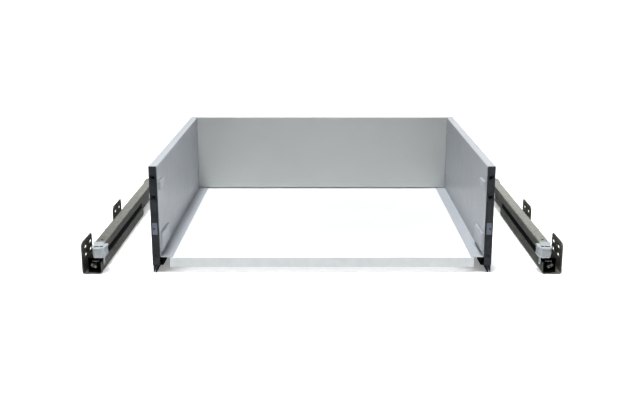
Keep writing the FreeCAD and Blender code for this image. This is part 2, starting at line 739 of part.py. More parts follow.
def lower_rollers():
    """Rollers under the middle member's foot, and small ones that hold it down."""
    inner = (lower_walls[0] + roller_side, lower_walls[1] - roller_side)
    rollers = roller_row(lower_places, inner, lower_mid, lower_d)
    hold_z = low_flange_z + middle_t + hold_gap / 2
    for u in ((lower_walls[0] + cage_wall, rail_u[0] + rail_flange - 0.2),
              (rail_u[1] - rail_flange + 0.2, lower_walls[1] - cage_wall)):
        rollers += roller_row(lower_places[1::3], u, hold_z, hold_gap - 2 * joint_gap)
    return Part.makeCompound(rollers)


def upper_rollers():
    """Rollers over the middle member's head, and larger ones under it on the drawer member's feet."""
    inner = (upper_walls[0] + roller_side, upper_walls[1] - roller_side)
    rollers = roller_row(upper_places, inner, upper_mid, upper_d)
    foot_z = foot_top + joint_gap + foot_d / 2
    for u in ((upper_walls[0] + cage_wall, web_span[0] - 2 * joint_gap),
              (member_out - member_t - member_foot_in + joint_gap, upper_walls[1] - cage_wall)):
        rollers += roller_row(upper_places[1::3], u, foot_z, foot_d)
    return Part.makeCompound(rollers)


def drawer_member():
    """Top member that the drawer stands on: a box section open below, with a pin for the soft close."""
    half = member_t / 2
    low, high = member_in + half, member_out - half
    foot, top = member_foot + half, member_top - half
    path = [(at(low + member_foot_out + half), foot), (at(low), foot), (at(low), top), (at(high), top),
            (at(high), foot), (at(high - member_foot_in - half), foot)]
    shape = folded(path, member_t, member_bend, member_front, member_rear)
    middle = (member_in + member_out) / 2
    through = (member_top - 3, member_top + 3)
    shape = shape.cut(rod((at(middle), member_front + 14.0, through[0]), 4.5, through[1] - through[0], UP))
    oval = box(span(middle - 3.0, middle + 3.0), (member_rear - 14.0, member_rear - 6.0), through)
    shape = shape.cut(rounded(oval, 2.8, UP))
    activator_z = tongue_top + joint_gap + activator_d / 2
    start = (at(member_in + half), slider_front + 4.5, activator_z)
    activator = rod(start, activator_d, member_in + half - case_mid + 1.5, ACROSS)
    return shape.fuse(activator).removeSplitter()


def end_cap():
    """Grey plastic cap on the front end of the drawer member, with a leg down beside the lip."""
    u = (cap_in, cap_in + cap_width)
    top = cap_foot + cap_height
    front, rear = runner_front, member_front
    outline = [(at(u[0] + cap_chamfer), front), (at(u[1] - cap_chamfer), front),
               (at(u[1]), front + 2 * cap_chamfer), (at(u[1]), rear), (at(u[0]), rear),
               (at(u[0]), front + 2 * cap_chamfer)]
    cap = prism(outline, cap_foot, top, "z")
    low_corner = [(at(u[0]) + 1, cap_foot - 1), (at(u[0]) + 1, cap_foot + 7), (at(u[0] + 7), cap_foot - 1)]
    cap = cap.cut(prism(low_corner, front - 1, rear + 1, "y"))
    shoulder = box(span(member_in, member_out), (rear - 9.0, rear), (top - 0.1, member_top))
    cap = cap.fuse(shoulder)
    recess = box(span(u[0] + 3.4, u[1] - 4.4), (front + 7.0, front + 14.0), (top - 3.0, top + 1))
    leg = box(span(u[1] - 4.3, u[1] - 2.8), (front + 6.0, front + 14.0), (cap_foot - 13.0, cap_foot + 1.0))
    cap = cap.cut(recess).fuse(leg)
    tongue_x = span(member_in + member_t + 0.1, member_out - member_t - 0.1)
    tongue_z = (foot_top + 1.2, member_cavity_top - 1.2)
    tongue = box(tongue_x, (rear, rear + middle_lead - joint_gap), tongue_z)
    return cap.fuse(tongue).removeSplitter()


def rear_hook():
    """Steel hook on the outer side of the drawer member's rear end."""
    z = (member_foot + 3.0, member_top - 1.0)
    plate = box(span(member_in - hook_t, member_in), (member_rear - 26.0, member_rear + 5.0), z)
    notch_x = span(member_in - hook_t - 1, member_in + 1)
    return plate.cut(box(notch_x, (member_rear + 1.0, member_rear + 3.0), (z[0] - 1, z[1] - 5.0)))


def damper_case():
    """Black case of the soft-close unit, with a slot along its top for the slider's tongue."""
    case = box(span(*case_u), case_y, case_z)
    room_y = (case_y[0] + damper_wall, case_y[1] - damper_wall)
    room_z = (case_z[0] + damper_wall, case_z[1] - damper_wall)
    room = box(span(case_u[0] + damper_wall, case_u[1] - damper_wall), room_y, room_z)
    opening_y = (slider_front - soft_close - 3.0, slider_front + slider_length + 1.0)
    opening = box(span(case_mid - 1.5, case_mid + 1.5), opening_y, (room_z[1] - 1, case_z[1] + 1))
    return case.cut(room).cut(opening)


def damper_cylinder():
    """Oil damper, closed at the rear and bored for its rod."""
    rear = case_y[1] - damper_wall
    body = rod((at(case_mid), cylinder_front, cylinder_z), damper_d, rear - cylinder_front, BACKWARD)
    start = (at(case_mid), cylinder_front - 1, cylinder_z)
    return body.cut(rod(start, rod_d + 2 * joint_gap, rear - cylinder_front - 1.5, BACKWARD))


def damper_slider():
    """Soft-close slider with its tongue and the damper's rod."""
    low = case_z[0] + damper_wall + joint_gap
    high = case_z[1] - damper_wall - joint_gap
    half = (damper_width - 2 * damper_wall) / 2 - joint_gap
    x, rear = at(case_mid), slider_front + slider_length
    block = box((x - half, x + half), (slider_front, rear), (low, high))
    notch_x = (x - half - 1, x - half + 2.4)
    block = block.cut(box(notch_x, (slider_front - 1, rear + 1), (high - 6.0, high + 1)))
    tongue = box((x - 1.0, x + 1.0), (slider_front + 2.0, slider_front + 7.0), (high - 1, tongue_top))
    rod_length = case_y[1] - damper_wall - 4.0 - rear
    piston_rod = rod((x, rear, cylinder_z), rod_d, rod_length, BACKWARD)
    return block.fuse(tongue).fuse(piston_rod).removeSplitter()


SINGLE = {"base_panel": base_panel, "back_panel": back_panel}
PAIRED = {
    "inner_skin": inner_skin, "outer_skin": outer_skin, "front_bracket": front_bracket,
    "front_bushes": front_bushes, "clamp_plate": clamp_plate, "carriage": carriage, "height_cam": height_cam,
    "side_screw": side_screw, "upper_cover": upper_cover, "lower_cover": lower_cover,
    "cabinet_profile": cabinet_profile, "middle_member": middle_member, "nose": nose,
    "latch_lever": latch_lever,
    "latch_plate": latch_plate, "lower_cage": lower_cage, "lower_rollers": lower_rollers,
    "upper_cage": upper_cage, "upper_rollers": upper_rollers, "drawer_member": drawer_member,
    "end_cap": end_cap, "rear_hook": rear_hook, "damper_slider": damper_slider,
}
GROUPED = {
    "board_rails": board_rail, "base_screws": base_screws, "back_holders": back_holder,
    "back_screws": back_screws, "holder_rivets": holder_rivets, "adjuster_guides": adjuster_guide,
    "coupling_blocks": coupling_block, "cabinet_rails": cabinet_rail, "rail_rivets": rail_rivets,
    "side_guides": side_guide, "damper_cases": damper_case, "damper_cylinders": damper_cylinder,
}


def write(name, shape):
    """Move a shape to the middle of the depth and write it as one node."""
    placed = shape.copy()
    placed.translate(V(0, -middle_y, 0))
    placed.exportStep("parts/" + name + ".step")


def main():
    """Write every node: the single ones, each pair's right and left, and the small pieces of both sides."""
    os.makedirs("parts", exist_ok=True)
    for name, make in SINGLE.items():
        write(name, make())
    for name, make in PAIRED.items():
        right = make()
        write(name + "_right", right)
        write(name + "_left", right.mirror(V(0, 0, 0), ACROSS))
    for name, make in GROUPED.items():
        right = make()
        write(name, Part.makeCompound([right, right.mirror(V(0, 0, 0), ACROSS)]))


main()
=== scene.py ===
"""Looks of a metal-sided cabinet drawer with its pair of concealed full-extension runners.

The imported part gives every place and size. This script eases the edges of the steel and board pieces, builds
the moulded plastic pieces anew in finer detail, gives every surface its finish, and sets up a plain studio.
Lengths are metres unless a name ends in _mm.
"""
import logging
import math
from dataclasses import dataclass
from enum import Enum
from typing import Any, Iterable, Optional, Sequence

import bmesh
import bpy
from mathutils import Matrix, Vector

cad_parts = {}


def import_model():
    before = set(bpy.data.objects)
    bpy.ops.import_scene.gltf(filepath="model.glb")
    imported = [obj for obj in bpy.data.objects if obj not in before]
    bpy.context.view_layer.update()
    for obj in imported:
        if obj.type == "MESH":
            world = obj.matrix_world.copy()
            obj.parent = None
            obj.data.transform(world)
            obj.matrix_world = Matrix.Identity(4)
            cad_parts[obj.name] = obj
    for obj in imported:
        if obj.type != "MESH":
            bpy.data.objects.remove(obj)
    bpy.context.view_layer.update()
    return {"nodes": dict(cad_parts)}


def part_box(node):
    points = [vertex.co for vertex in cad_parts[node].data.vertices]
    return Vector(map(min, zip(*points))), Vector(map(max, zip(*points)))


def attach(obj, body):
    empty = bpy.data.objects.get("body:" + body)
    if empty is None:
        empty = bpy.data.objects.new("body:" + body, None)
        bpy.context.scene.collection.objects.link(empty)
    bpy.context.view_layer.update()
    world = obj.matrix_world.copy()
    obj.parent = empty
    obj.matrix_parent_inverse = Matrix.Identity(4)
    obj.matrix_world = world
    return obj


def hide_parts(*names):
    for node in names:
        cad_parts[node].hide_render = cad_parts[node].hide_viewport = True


LOG = logging.getLogger("drawer")
MM = 0.001
Point2 = tuple[float, float]
Span = tuple[float, float]


# ---- Small tools -------------------------------------------------------------------------------------
def linear(colour: str, alpha: float = 1.0) -> tuple[float, float, float, float]:
    """Turn an sRGB hex colour to linear values.

    Args:
        colour: Six hex digits after a hash.
        alpha: Fourth value of the result.

    Returns:
        Linear red, green and blue, and alpha.
    """
    parts = [int(colour[i:i + 2], 16) / 255 for i in (1, 3, 5)]
    values = [p / 12.92 if p <= 0.04045 else ((p + 0.055) / 1.055) ** 2.4 for p in parts]
    return (values[0], values[1], values[2], alpha)


def add_node(tree: bpy.types.NodeTree, kind: str, settings: Optional[dict] = None,
             links: Optional[dict] = None) -> bpy.types.Node:
    """Add a node to a tree with its settings and the links into it.

    Args:
        tree: The node tree.
        kind: Blender's name of the node type.
        settings: Values by property name, or by socket name or number.
        links: Output sockets by the name or number of the input that they feed.

    Returns:
        The new node.
    """
    node = tree.nodes.new(kind)
    for key, value in (settings or {}).items():
        if isinstance(key, str) and hasattr(node, key):
            setattr(node, key, value)
        else:
            node.inputs[key].default_value = value
    for key, source in (links or {}).items():
        tree.links.new(source, node.inputs[key])
    return node


class Axis(Enum):
    """Direction in which an outline is drawn out; the outline uses the other two axes, in order."""

    X = 0
    Y = 1
    Z = 2


class Side(Enum):
    """Which of a pair; the value is the sign of its X places."""

    RIGHT = 1
    LEFT = -1

    @property
    def tail(self) -> str:
        """Ending of this side's node and body names."""
        return "_" + self.name.lower()


# ---- Finishes ----------------------------------------------------------------------------------------
def per_mm(size_mm: float) -> float:
    """Scale that makes a pattern repeat once in a real size given in millimetres."""
    return 1 / (size_mm * MM)


@dataclass(frozen=True)
class Finish:
    """What all finishes share: a name, two close colours and how the light meets them."""

    name: str
    colour: str
    tint: str
    roughness: float
    metallic: float = 0.0

    def start(self) -> tuple[bpy.types.Material, bpy.types.NodeTree, bpy.types.NodeSocket]:
        """Make an empty material.

        Returns:
            The material, its tree, and the object's coordinates in metres.
        """
        material = bpy.data.materials.new(self.name)
        material.use_nodes = True
        tree = material.node_tree
        tree.nodes.clear()
        place = add_node(tree, "ShaderNodeTexCoord").outputs["Object"]
        return material, tree, place

    def gloss_span(self, lower: float, upper: float) -> dict[str, float]:
        """Settings that map a noise's middle range to a little below and above the roughness."""
        return {"From Min": 0.3, "From Max": 0.7, "To Min": self.roughness - lower,
                "To Max": self.roughness + upper}

    def tones(self) -> dict[Any, Any]:
        """Settings of a mix between the two colours."""
        return {"data_type": "RGBA", 6: linear(self.colour), 7: linear(self.tint)}


@dataclass(frozen=True)
class PowderCoat(Finish):
    """Polyester powder baked on steel: satin, with the shallow waves of orange peel."""

    peel_mm: float = 1.6
    peel_depth_mm: float = 0.012
    cloud_mm: float = 90.0

    def build(self) -> bpy.types.Material:
        """Make the material: a cool light grey, its gloss a little uneven from the oven."""
        material, tree, place = self.start()
        cloud = add_node(tree, "ShaderNodeTexNoise", {"Scale": per_mm(self.cloud_mm), "Detail": 3.0},
                         {"Vector": place})
        tone = add_node(tree, "ShaderNodeMix", self.tones(), {0: cloud.outputs[0]})
        oven = add_node(tree, "ShaderNodeTexNoise", {"Scale": per_mm(24.0)}, {"Vector": place})
        gloss = add_node(tree, "ShaderNodeMapRange", self.gloss_span(0.04, 0.05), {"Value": oven.outputs[0]})
        peel = add_node(tree, "ShaderNodeTexNoise", {"Scale": per_mm(self.peel_mm), "Detail": 1.0},
                        {"Vector": place})
        waves = add_node(tree, "ShaderNodeBump", {"Distance": self.peel_depth_mm * MM, "Strength": 1.0},
                         {"Height": peel.outputs[0]})
        shader = add_node(tree, "ShaderNodeBsdfPrincipled", {"Coat Weight": 0.12, "Coat Roughness": 0.25},
                          {"Base Color": tone.outputs[2], "Roughness": gloss.outputs[0],
                           "Normal": waves.outputs[0]})
        add_node(tree, "ShaderNodeOutputMaterial", links={"Surface": shader.outputs[0]})
        return material


@dataclass(frozen=True)
class MelamineBoard(Finish):
    """Particle board faced with white melamine paper: pressed with a fine pearl grain."""

    pearl_mm: float = 1.1
    pearl_depth_mm: float = 0.01

    def build(self) -> bpy.types.Material:
        """Make the material: clean white with a soft sheen and hardly visible pearls."""
        material, tree, place = self.start()
        cloud = add_node(tree, "ShaderNodeTexNoise", {"Scale": per_mm(120.0)}, {"Vector": place})
        tone = add_node(tree, "ShaderNodeMix", self.tones(), {0: cloud.outputs[0]})
        press = add_node(tree, "ShaderNodeTexNoise", {"Scale": per_mm(14.0)}, {"Vector": place})
        gloss = add_node(tree, "ShaderNodeMapRange", self.gloss_span(0.03, 0.05), {"Value": press.outputs[0]})
        pearls = add_node(tree, "ShaderNodeTexVoronoi", {"feature": "SMOOTH_F1",
                                                         "Scale": per_mm(self.pearl_mm)}, {"Vector": place})
        grain = add_node(tree, "ShaderNodeBump", {"Distance": self.pearl_depth_mm * MM, "Strength": 0.7},
                         {"Height": pearls.outputs["Distance"]})
        shader = add_node(tree, "ShaderNodeBsdfPrincipled", links={
            "Base Color": tone.outputs[2], "Roughness": gloss.outputs[0], "Normal": grain.outputs[0]})
        add_node(tree, "ShaderNodeOutputMaterial", links={"Surface": shader.outputs[0]})
        return material


@dataclass(frozen=True)
class GalvanisedSteel(Finish):
    """Hot-dip galvanised strip, cold formed: small spangles crossed by the rolls' long drawn lines."""

    spangle_mm: float = 4.0
    line_mm: float = 0.6
    line_length: float = 160.0
    spangle_share: float = 0.45

    def build(self) -> bpy.types.Material:
        """Make the material: grey zinc whose crystals take the light differently."""
        material, tree, place = self.start()
        warp = add_node(tree, "ShaderNodeTexNoise", {"Scale": per_mm(6.0)}, {"Vector": place})
        bent = add_node(tree, "ShaderNodeVectorMath", {"operation": "MULTIPLY_ADD", 1: (0.003, 0.003, 0.003)},
                        {0: warp.outputs[0], 2: place})
        spangle = add_node(tree, "ShaderNodeTexVoronoi", {"Scale": per_mm(self.spangle_mm)},
                           {"Vector": bent.outputs[0]})
        crystal = add_node(tree, "ShaderNodeSeparateColor", links={0: spangle.outputs["Color"]})
        drawn = add_node(tree, "ShaderNodeMapping", {"Scale": (1, 1 / self.line_length, 1)}, {"Vector": place})
        lines = add_node(tree, "ShaderNodeTexNoise", {"Scale": per_mm(self.line_mm), "Detail": 3.0},
                         {"Vector": drawn.outputs[0]})
        both = add_node(tree, "ShaderNodeMix", {"data_type": "FLOAT", 0: self.spangle_share},
                        {2: lines.outputs[0], 3: crystal.outputs[0]})
        tone = add_node(tree, "ShaderNodeMix", self.tones(), {0: both.outputs[0]})
        gloss = add_node(tree, "ShaderNodeMapRange", self.gloss_span(0.05, 0.08), {"Value": both.outputs[0]})
        relief = add_node(tree, "ShaderNodeBump", {"Distance": 0.015 * MM, "Strength": 0.6},
                          {"Height": both.outputs[0]})
        shader = add_node(tree, "ShaderNodeBsdfPrincipled", {"Metallic": self.metallic}, {
            "Base Color": tone.outputs[2], "Roughness": gloss.outputs[0], "Normal": relief.outputs[0]})
        add_node(tree, "ShaderNodeOutputMaterial", links={"Surface": shader.outputs[0]})
        return material


@dataclass(frozen=True)
class DipPaintedSteel(Finish):
    """Pressed steel with black dip paint: thin and even, with a soft gloss over slight waves."""

    wave_mm: float = 2.4

    def build(self) -> bpy.types.Material:
        """Make the material: blue-black, a little greyer where the paint is thin."""
        material, tree, place = self.start()
        thin = add_node(tree, "ShaderNodeTexNoise", {"Scale": per_mm(18.0), "Detail": 4.0}, {"Vector": place})
        tone = add_node(tree, "ShaderNodeMix", self.tones(), {0: thin.outputs[0]})
        patches = add_node(tree, "ShaderNodeTexNoise", {"Scale": per_mm(5.0)}, {"Vector": place})
        gloss = add_node(tree, "ShaderNodeMapRange", self.gloss_span(0.06, 0.08), {"Value": patches.outputs[0]})
        runs = add_node(tree, "ShaderNodeTexNoise", {"Scale": per_mm(self.wave_mm)}, {"Vector": place})
        waves = add_node(tree, "ShaderNodeBump", {"Distance": 0.02 * MM, "Strength": 0.8},
                         {"Height": runs.outputs[0]})
        shader = add_node(tree, "ShaderNodeBsdfPrincipled", {"Coat Weight": 0.2, "Coat Roughness": 0.3}, {
            "Base Color": tone.outputs[2], "Roughness": gloss.outputs[0], "Normal": waves.outputs[0]})
        add_node(tree, "ShaderNodeOutputMaterial", links={"Surface": shader.outputs[0]})
        return material


@dataclass(frozen=True)
class CastZinc(Finish):
    """Pressure die-cast zinc, tumbled: dull silver with faint flow marks."""

    flow_mm: float = 7.0
    grain_mm: float = 0.5

    def build(self) -> bpy.types.Material:
        """Make the material: mottled grey metal with a fine tumbled grain."""
        material, tree, place = self.start()
        run = add_node(tree, "ShaderNodeMapping", {"Scale": (1, 1, 0.4)}, {"Vector": place})
        flow = add_node(tree, "ShaderNodeTexNoise", {"Scale": per_mm(self.flow_mm), "Detail": 4.0},
                        {"Vector": run.outputs[0]})
        tone = add_node(tree, "ShaderNodeMix", self.tones(), {0: flow.outputs[0]})
        gloss = add_node(tree, "ShaderNodeMapRange", self.gloss_span(0.05, 0.1), {"Value": flow.outputs[0]})
        tumbled = add_node(tree, "ShaderNodeTexNoise", {"Scale": per_mm(self.grain_mm)}, {"Vector": place})
        grain = add_node(tree, "ShaderNodeBump", {"Distance": 0.02 * MM, "Strength": 0.8},
                         {"Height": tumbled.outputs[0]})
        shader = add_node(tree, "ShaderNodeBsdfPrincipled", {"Metallic": self.metallic}, {
            "Base Color": tone.outputs[2], "Roughness": gloss.outputs[0], "Normal": grain.outputs[0]})
        add_node(tree, "ShaderNodeOutputMaterial", links={"Surface": shader.outputs[0]})
        return material


@dataclass(frozen=True)
class MouldedPlastic(Finish):
    """Injection-moulded plastic from a spark-eroded mould: an even fine grain, drawn at twice its size."""

    grain_mm: float = 0.45
    grain_depth_mm: float = 0.02
    subsurface: float = 0.0

    def build(self) -> bpy.types.Material:
        """Make the material: one colour with weak flow clouds, matt grain and softer gloss patches."""
        material, tree, place = self.start()
        cloud = add_node(tree, "ShaderNodeTexNoise", {"Scale": per_mm(11.0), "Detail": 3.0}, {"Vector": place})
        tone = add_node(tree, "ShaderNodeMix", self.tones(), {0: cloud.outputs[0]})
        patches = add_node(tree, "ShaderNodeTexNoise", {"Scale": per_mm(4.0)}, {"Vector": place})
        gloss = add_node(tree, "ShaderNodeMapRange", self.gloss_span(0.05, 0.06), {"Value": patches.outputs[0]})
        eroded = add_node(tree, "ShaderNodeTexNoise", {"Scale": per_mm(self.grain_mm), "Detail": 1.0},
                          {"Vector": place})
        grain = add_node(tree, "ShaderNodeBump", {"Distance": self.grain_depth_mm * MM, "Strength": 0.8},
                         {"Height": eroded.outputs[0]})
        shader = add_node(tree, "ShaderNodeBsdfPrincipled", {
            "Subsurface Weight": self.subsurface, "Subsurface Radius": (1.0, 1.0, 1.0),
            "Subsurface Scale": 2 * MM}, {
            "Base Color": tone.outputs[2], "Roughness": gloss.outputs[0], "Normal": grain.outputs[0]})
        add_node(tree, "ShaderNodeOutputMaterial", links={"Surface": shader.outputs[0]})
        return material


@dataclass(frozen=True)
class ZincPlate(Finish):
    """Bright zinc plate with clear passivation on small steel pieces: silver with a cool or straw cast."""

    scratch_mm: float = 0.6

    def build(self) -> bpy.types.Material:
        """Make the material: bright metal, its cast drifting over each piece."""
        material, tree, place = self.start()
        cast = add_node(tree, "ShaderNodeTexNoise", {"Scale": per_mm(5.0), "Detail": 3.0}, {"Vector": place})
        tone = add_node(tree, "ShaderNodeMix", self.tones(), {0: cast.outputs[0]})
        drawn = add_node(tree, "ShaderNodeMapping", {"Scale": (1, 0.17, 1)}, {"Vector": place})
        scratch = add_node(tree, "ShaderNodeTexNoise", {"Scale": per_mm(self.scratch_mm)},
                           {"Vector": drawn.outputs[0]})
        gloss = add_node(tree, "ShaderNodeMapRange", self.gloss_span(0.06, 0.1), {"Value": scratch.outputs[0]})
        relief = add_node(tree, "ShaderNodeBump", {"Distance": 0.008 * MM, "Strength": 0.7},
                          {"Height": scratch.outputs[0]})
        shader = add_node(tree, "ShaderNodeBsdfPrincipled", {"Metallic": self.metallic}, {
            "Base Color": tone.outputs[2], "Roughness": gloss.outputs[0], "Normal": relief.outputs[0]})
        add_node(tree, "ShaderNodeOutputMaterial", links={"Surface": shader.outputs[0]})
        return material


@dataclass(frozen=True)
class StudioPaper(Finish):
    """Seamless paper roll under the object: pale, matt, with a barely visible tooth."""

    glow: float = 0.0

    def build(self) -> bpy.types.Material:
        """Make the material: near white, lifted a little so that shadows stay pale."""
        material, tree, place = self.start()
        tooth = add_node(tree, "ShaderNodeTexNoise", {"Scale": per_mm(3.0)}, {"Vector": place})
        tone = add_node(tree, "ShaderNodeMix", self.tones(), {0: tooth.outputs[0]})
        shader = add_node(tree, "ShaderNodeBsdfPrincipled", {
            "Roughness": self.roughness, "Emission Color": linear("#ffffff"),
            "Emission Strength": self.glow}, {"Base Color": tone.outputs[2]})
        add_node(tree, "ShaderNodeOutputMaterial", links={"Surface": shader.outputs[0]})
        return material


class Finishes(Enum):
    """Every finish on the object, by the piece or material that wears it."""

    SIDE_COAT = PowderCoat("side_powder_coat", "#bfc3c8", "#cacdd1", 0.42)
    BOARD = MelamineBoard("white_melamine_board", "#f7f8f9", "#eff1f2", 0.4)
    # The back board is the same white melamine as the base board, made a darker grey here: painted shade of the
    # deep box, not the board's own colour.
    BACK_BOARD_PAINTED_SHADE = MelamineBoard("back_board_painted_shade_melamine", "#dcdedd", "#d4d6d5", 0.45)
    GALVANISED = GalvanisedSteel("galvanised_strip", "#8e8e88", "#d2d2ca", 0.4, 0.62)
    DIP_PAINT = DipPaintedSteel("black_dip_paint", "#3e4145", "#6a6e73", 0.38)
    CLAMP_ZINC = CastZinc("clamp_zinc_casting", "#98a0ad", "#b1b7c4", 0.45, 0.2)
    ZINC_CAST = CastZinc("die_cast_zinc", "#7d8187", "#a9acb1", 0.42, 0.9)
    EDGE_BAND = MouldedPlastic("white_abs_edge_band", "#eef1f2", "#e4e8e9", 0.38, grain_mm=0.6,
                               grain_depth_mm=0.008)
    BLACK_NYLON = MouldedPlastic("black_glass_filled_nylon", "#101214", "#202226", 0.5)
    GREY_ACETAL = MouldedPlastic("grey_acetal", "#d3d8da", "#c6cbce", 0.4, subsurface=0.08)
    COVER_ABS = MouldedPlastic("cover_abs", "#cdd1d6", "#c4c8cd", 0.38, grain_depth_mm=0.01)
    ZINC_PLATE = ZincPlate("bright_zinc_plate", "#cfd3d8", "#d6d2c4", 0.32, 0.5)


# ---- Mesh work ---------------------------------------------------------------------------------------
class Solid:
    """A closed mesh made by adding and cutting drawn-out outlines, as a maker builds up a moulding."""

    def __init__(self, name: str) -> None:
        """Start with nothing; the first added outline becomes the body."""
        self.name = name
        self.body: Optional[bpy.types.Object] = None

    def add(self, outline: Sequence[Point2], span: Span, axis: Axis, taper: float = 0.0) -> "Solid":
        """Join an outline, drawn out over a span along an axis, to the body."""
        return self._combine(outline, span, axis, "UNION", taper)

    def cut(self, outline: Sequence[Point2], span: Span, axis: Axis, taper: float = 0.0) -> "Solid":
        """Take an outline, drawn out over a span along an axis, out of the body."""
        return self._combine(outline, span, axis, "DIFFERENCE", taper)

    def _combine(self, outline: Sequence[Point2], span: Span, axis: Axis, operation: str,
                 taper: float) -> "Solid":
        """Draw an outline out and join it to the body or take it away.

        Args:
            outline: Corners of the outline.
            span: Where it starts and ends along the axis.
            axis: The axis that it is drawn out along.
            operation: The boolean that joins or takes away.
            taper: How far it is drawn in at the end of the span.

        Returns:
            This solid, so that calls can follow each other.
        """
        piece = draw_out(self.name + "_tool", outline, span, axis, taper)
        if self.body is None:
            self.body = piece
            return self
        modifier = self.body.modifiers.new("combine", "BOOLEAN")
        modifier.operation = operation
        modifier.solver = "EXACT"
        modifier.object = piece
        settle(self.body)
        bpy.data.objects.remove(piece)
        return self

    def finish(self, ease: float, side: Side = Side.RIGHT) -> bpy.types.Object:
        """Name the body, mirror it for the left, round its edges and return it.

        Args:
            ease: Width of the rounded edges, in metres.
            side: The pieces are drawn on the right; the left ones are mirrored.

        Returns:
            The finished object.
        """
        body = self.body
        body.name = self.name
        body.data.name = self.name
        if side is Side.LEFT:
            body.data.transform(Matrix.Scale(-1, 4, (1, 0, 0)))
            body.data.flip_normals()
        ease_edges(body, ease, segments=3)
        return body


def drawn_in(outline: Sequence[Point2], by: float) -> list[Point2]:
    """Move an outline's corners towards its middle by a distance along each axis."""
    middle = [sum(point[i] for point in outline) / len(outline) for i in range(2)]
    return [tuple(point[i] - math.copysign(min(by, abs(point[i] - middle[i])), point[i] - middle[i])
                  for i in range(2)) for point in outline]


def draw_out(name: str, outline: Sequence[Point2], span: Span, axis: Axis,
             taper: float = 0.0) -> bpy.types.Object:
    """Draw a flat outline out into a closed solid.

    Args:
        name: Name of the object.
        outline: Corners on the other two axes, in order.
        span: Place along the axis of the outline itself, and of its far end.
        axis: Direction of the drawing out.
        taper: How far the far end is drawn in.

    Returns:
        The new object.
    """
    mesh = bpy.data.meshes.new(name)
    form = bmesh.new()
    others = [i for i in range(3) if i != axis.value]
    rings = []
    for place, points in zip(span, (outline, drawn_in(outline, taper))):
        ring = []
        for first, second in points:
            corner = Vector((0, 0, 0))
            corner[axis.value], corner[others[0]], corner[others[1]] = place, first, second
            ring.append(form.verts.new(corner))
        rings.append(ring)
    form.faces.new(rings[0])
    form.faces.new(rings[1])
    count = len(outline)
    for i in range(count):
        after = (i + 1) % count
        form.faces.new((rings[0][i], rings[0][after], rings[1][after], rings[1][i]))
    bmesh.ops.recalc_face_normals(form, faces=form.faces)
    form.to_mesh(mesh)
    form.free()
    piece = bpy.data.objects.new(name, mesh)
    bpy.context.scene.collection.objects.link(piece)
    return piece


def settle(piece: bpy.types.Object) -> None:
    """Bake an object's modifiers into its mesh."""
    graph = bpy.context.evaluated_depsgraph_get()
    baked = bpy.data.meshes.new_from_object(piece.evaluated_get(graph))
    piece.modifiers.clear()
    piece.data = baked


def block(x: Span, y: Span) -> list[Point2]:
    """Corners of a rectangle between two spans."""
    return [(x[0], y[0]), (x[1], y[0]), (x[1], y[1]), (x[0], y[1])]


def disc(centre: Point2, radius: float, count: int = 32) -> list[Point2]:
    """Corners of a circle."""
    turns = [2 * math.pi * i / count for i in range(count)]
    return [(centre[0] + radius * math.cos(t), centre[1] + radius * math.sin(t)) for t in turns]


def ease_edges(piece: bpy.types.Object, width: float, segments: int = 2) -> None:
    """Round the sharp edges of a piece and keep its flat faces flat to the light.

    Args:
        piece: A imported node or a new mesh; only modifiers are added.
        width: Width of the rounding, in metres.
        segments: Faces across the rounding.
    """
    mesh = piece.data
    if "custom_normal" in mesh.attributes:
        mesh.attributes.remove(mesh.attributes["custom_normal"])
    mesh.polygons.foreach_set("use_smooth", [True] * len(mesh.polygons))
    weld = piece.modifiers.new("join_corners", "WELD")
    weld.merge_threshold = 0.01 * MM
    bevel = piece.modifiers.new("ease_edges", "BEVEL")
    bevel.width = width
    bevel.segments = segments
    bevel.limit_method = "ANGLE"
    bevel.angle_limit = math.radians(50)
    piece.modifiers.new("flat_faces", "WEIGHTED_NORMAL").weight = 80


class Workshop:
    """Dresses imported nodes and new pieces, and keeps each finish's material."""

    def __init__(self, nodes: dict[str, bpy.types.Object]) -> None:
        """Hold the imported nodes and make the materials."""
        self.nodes = nodes
        self.materials = {f: f.value.build() for f in Finishes}

    def wear(self, piece: bpy.types.Object, finish: Finishes) -> None:
        """Give a piece one finish all over."""
        piece.data.materials.clear()
        piece.data.materials.append(self.materials[finish])
        for polygon in piece.data.polygons:
            polygon.material_index = 0

    def dress(self, name: str, finish: Finishes, ease: float = 0.0) -> bpy.types.Object:
        """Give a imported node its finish, and eased edges if it has a width for them.

        Args:
            name: The node's name.
            finish: What it wears.
            ease: Width of the eased edges, or 0 for none.

        Returns:
            The dressed node.
        """
        node = self.nodes[name]
        self.wear(node, finish)
        if ease:
            ease_edges(node, ease)
        LOG.info("node %s wears %s", name, finish.value.name)
        return node

    def place(self, piece: bpy.types.Object, finish: Finishes, body: str, slot: str,
              stands_for: Iterable[str] = ()) -> bpy.types.Object:
        """Give a new piece its finish and body, and hide the nodes that it stands for.

        Args:
            piece: The new piece.
            finish: What it wears.
            body: The body that it rides on.
            slot: Its material slot; not used.
            stands_for: Names of the nodes that it replaces.

        Returns:
            The placed piece.
        """
        self.wear(piece, finish)
        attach(piece, body)
        names = list(stands_for)
        if names:
            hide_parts(*names)
        LOG.info("piece %s rides on %s", piece.name, body)
        return piece


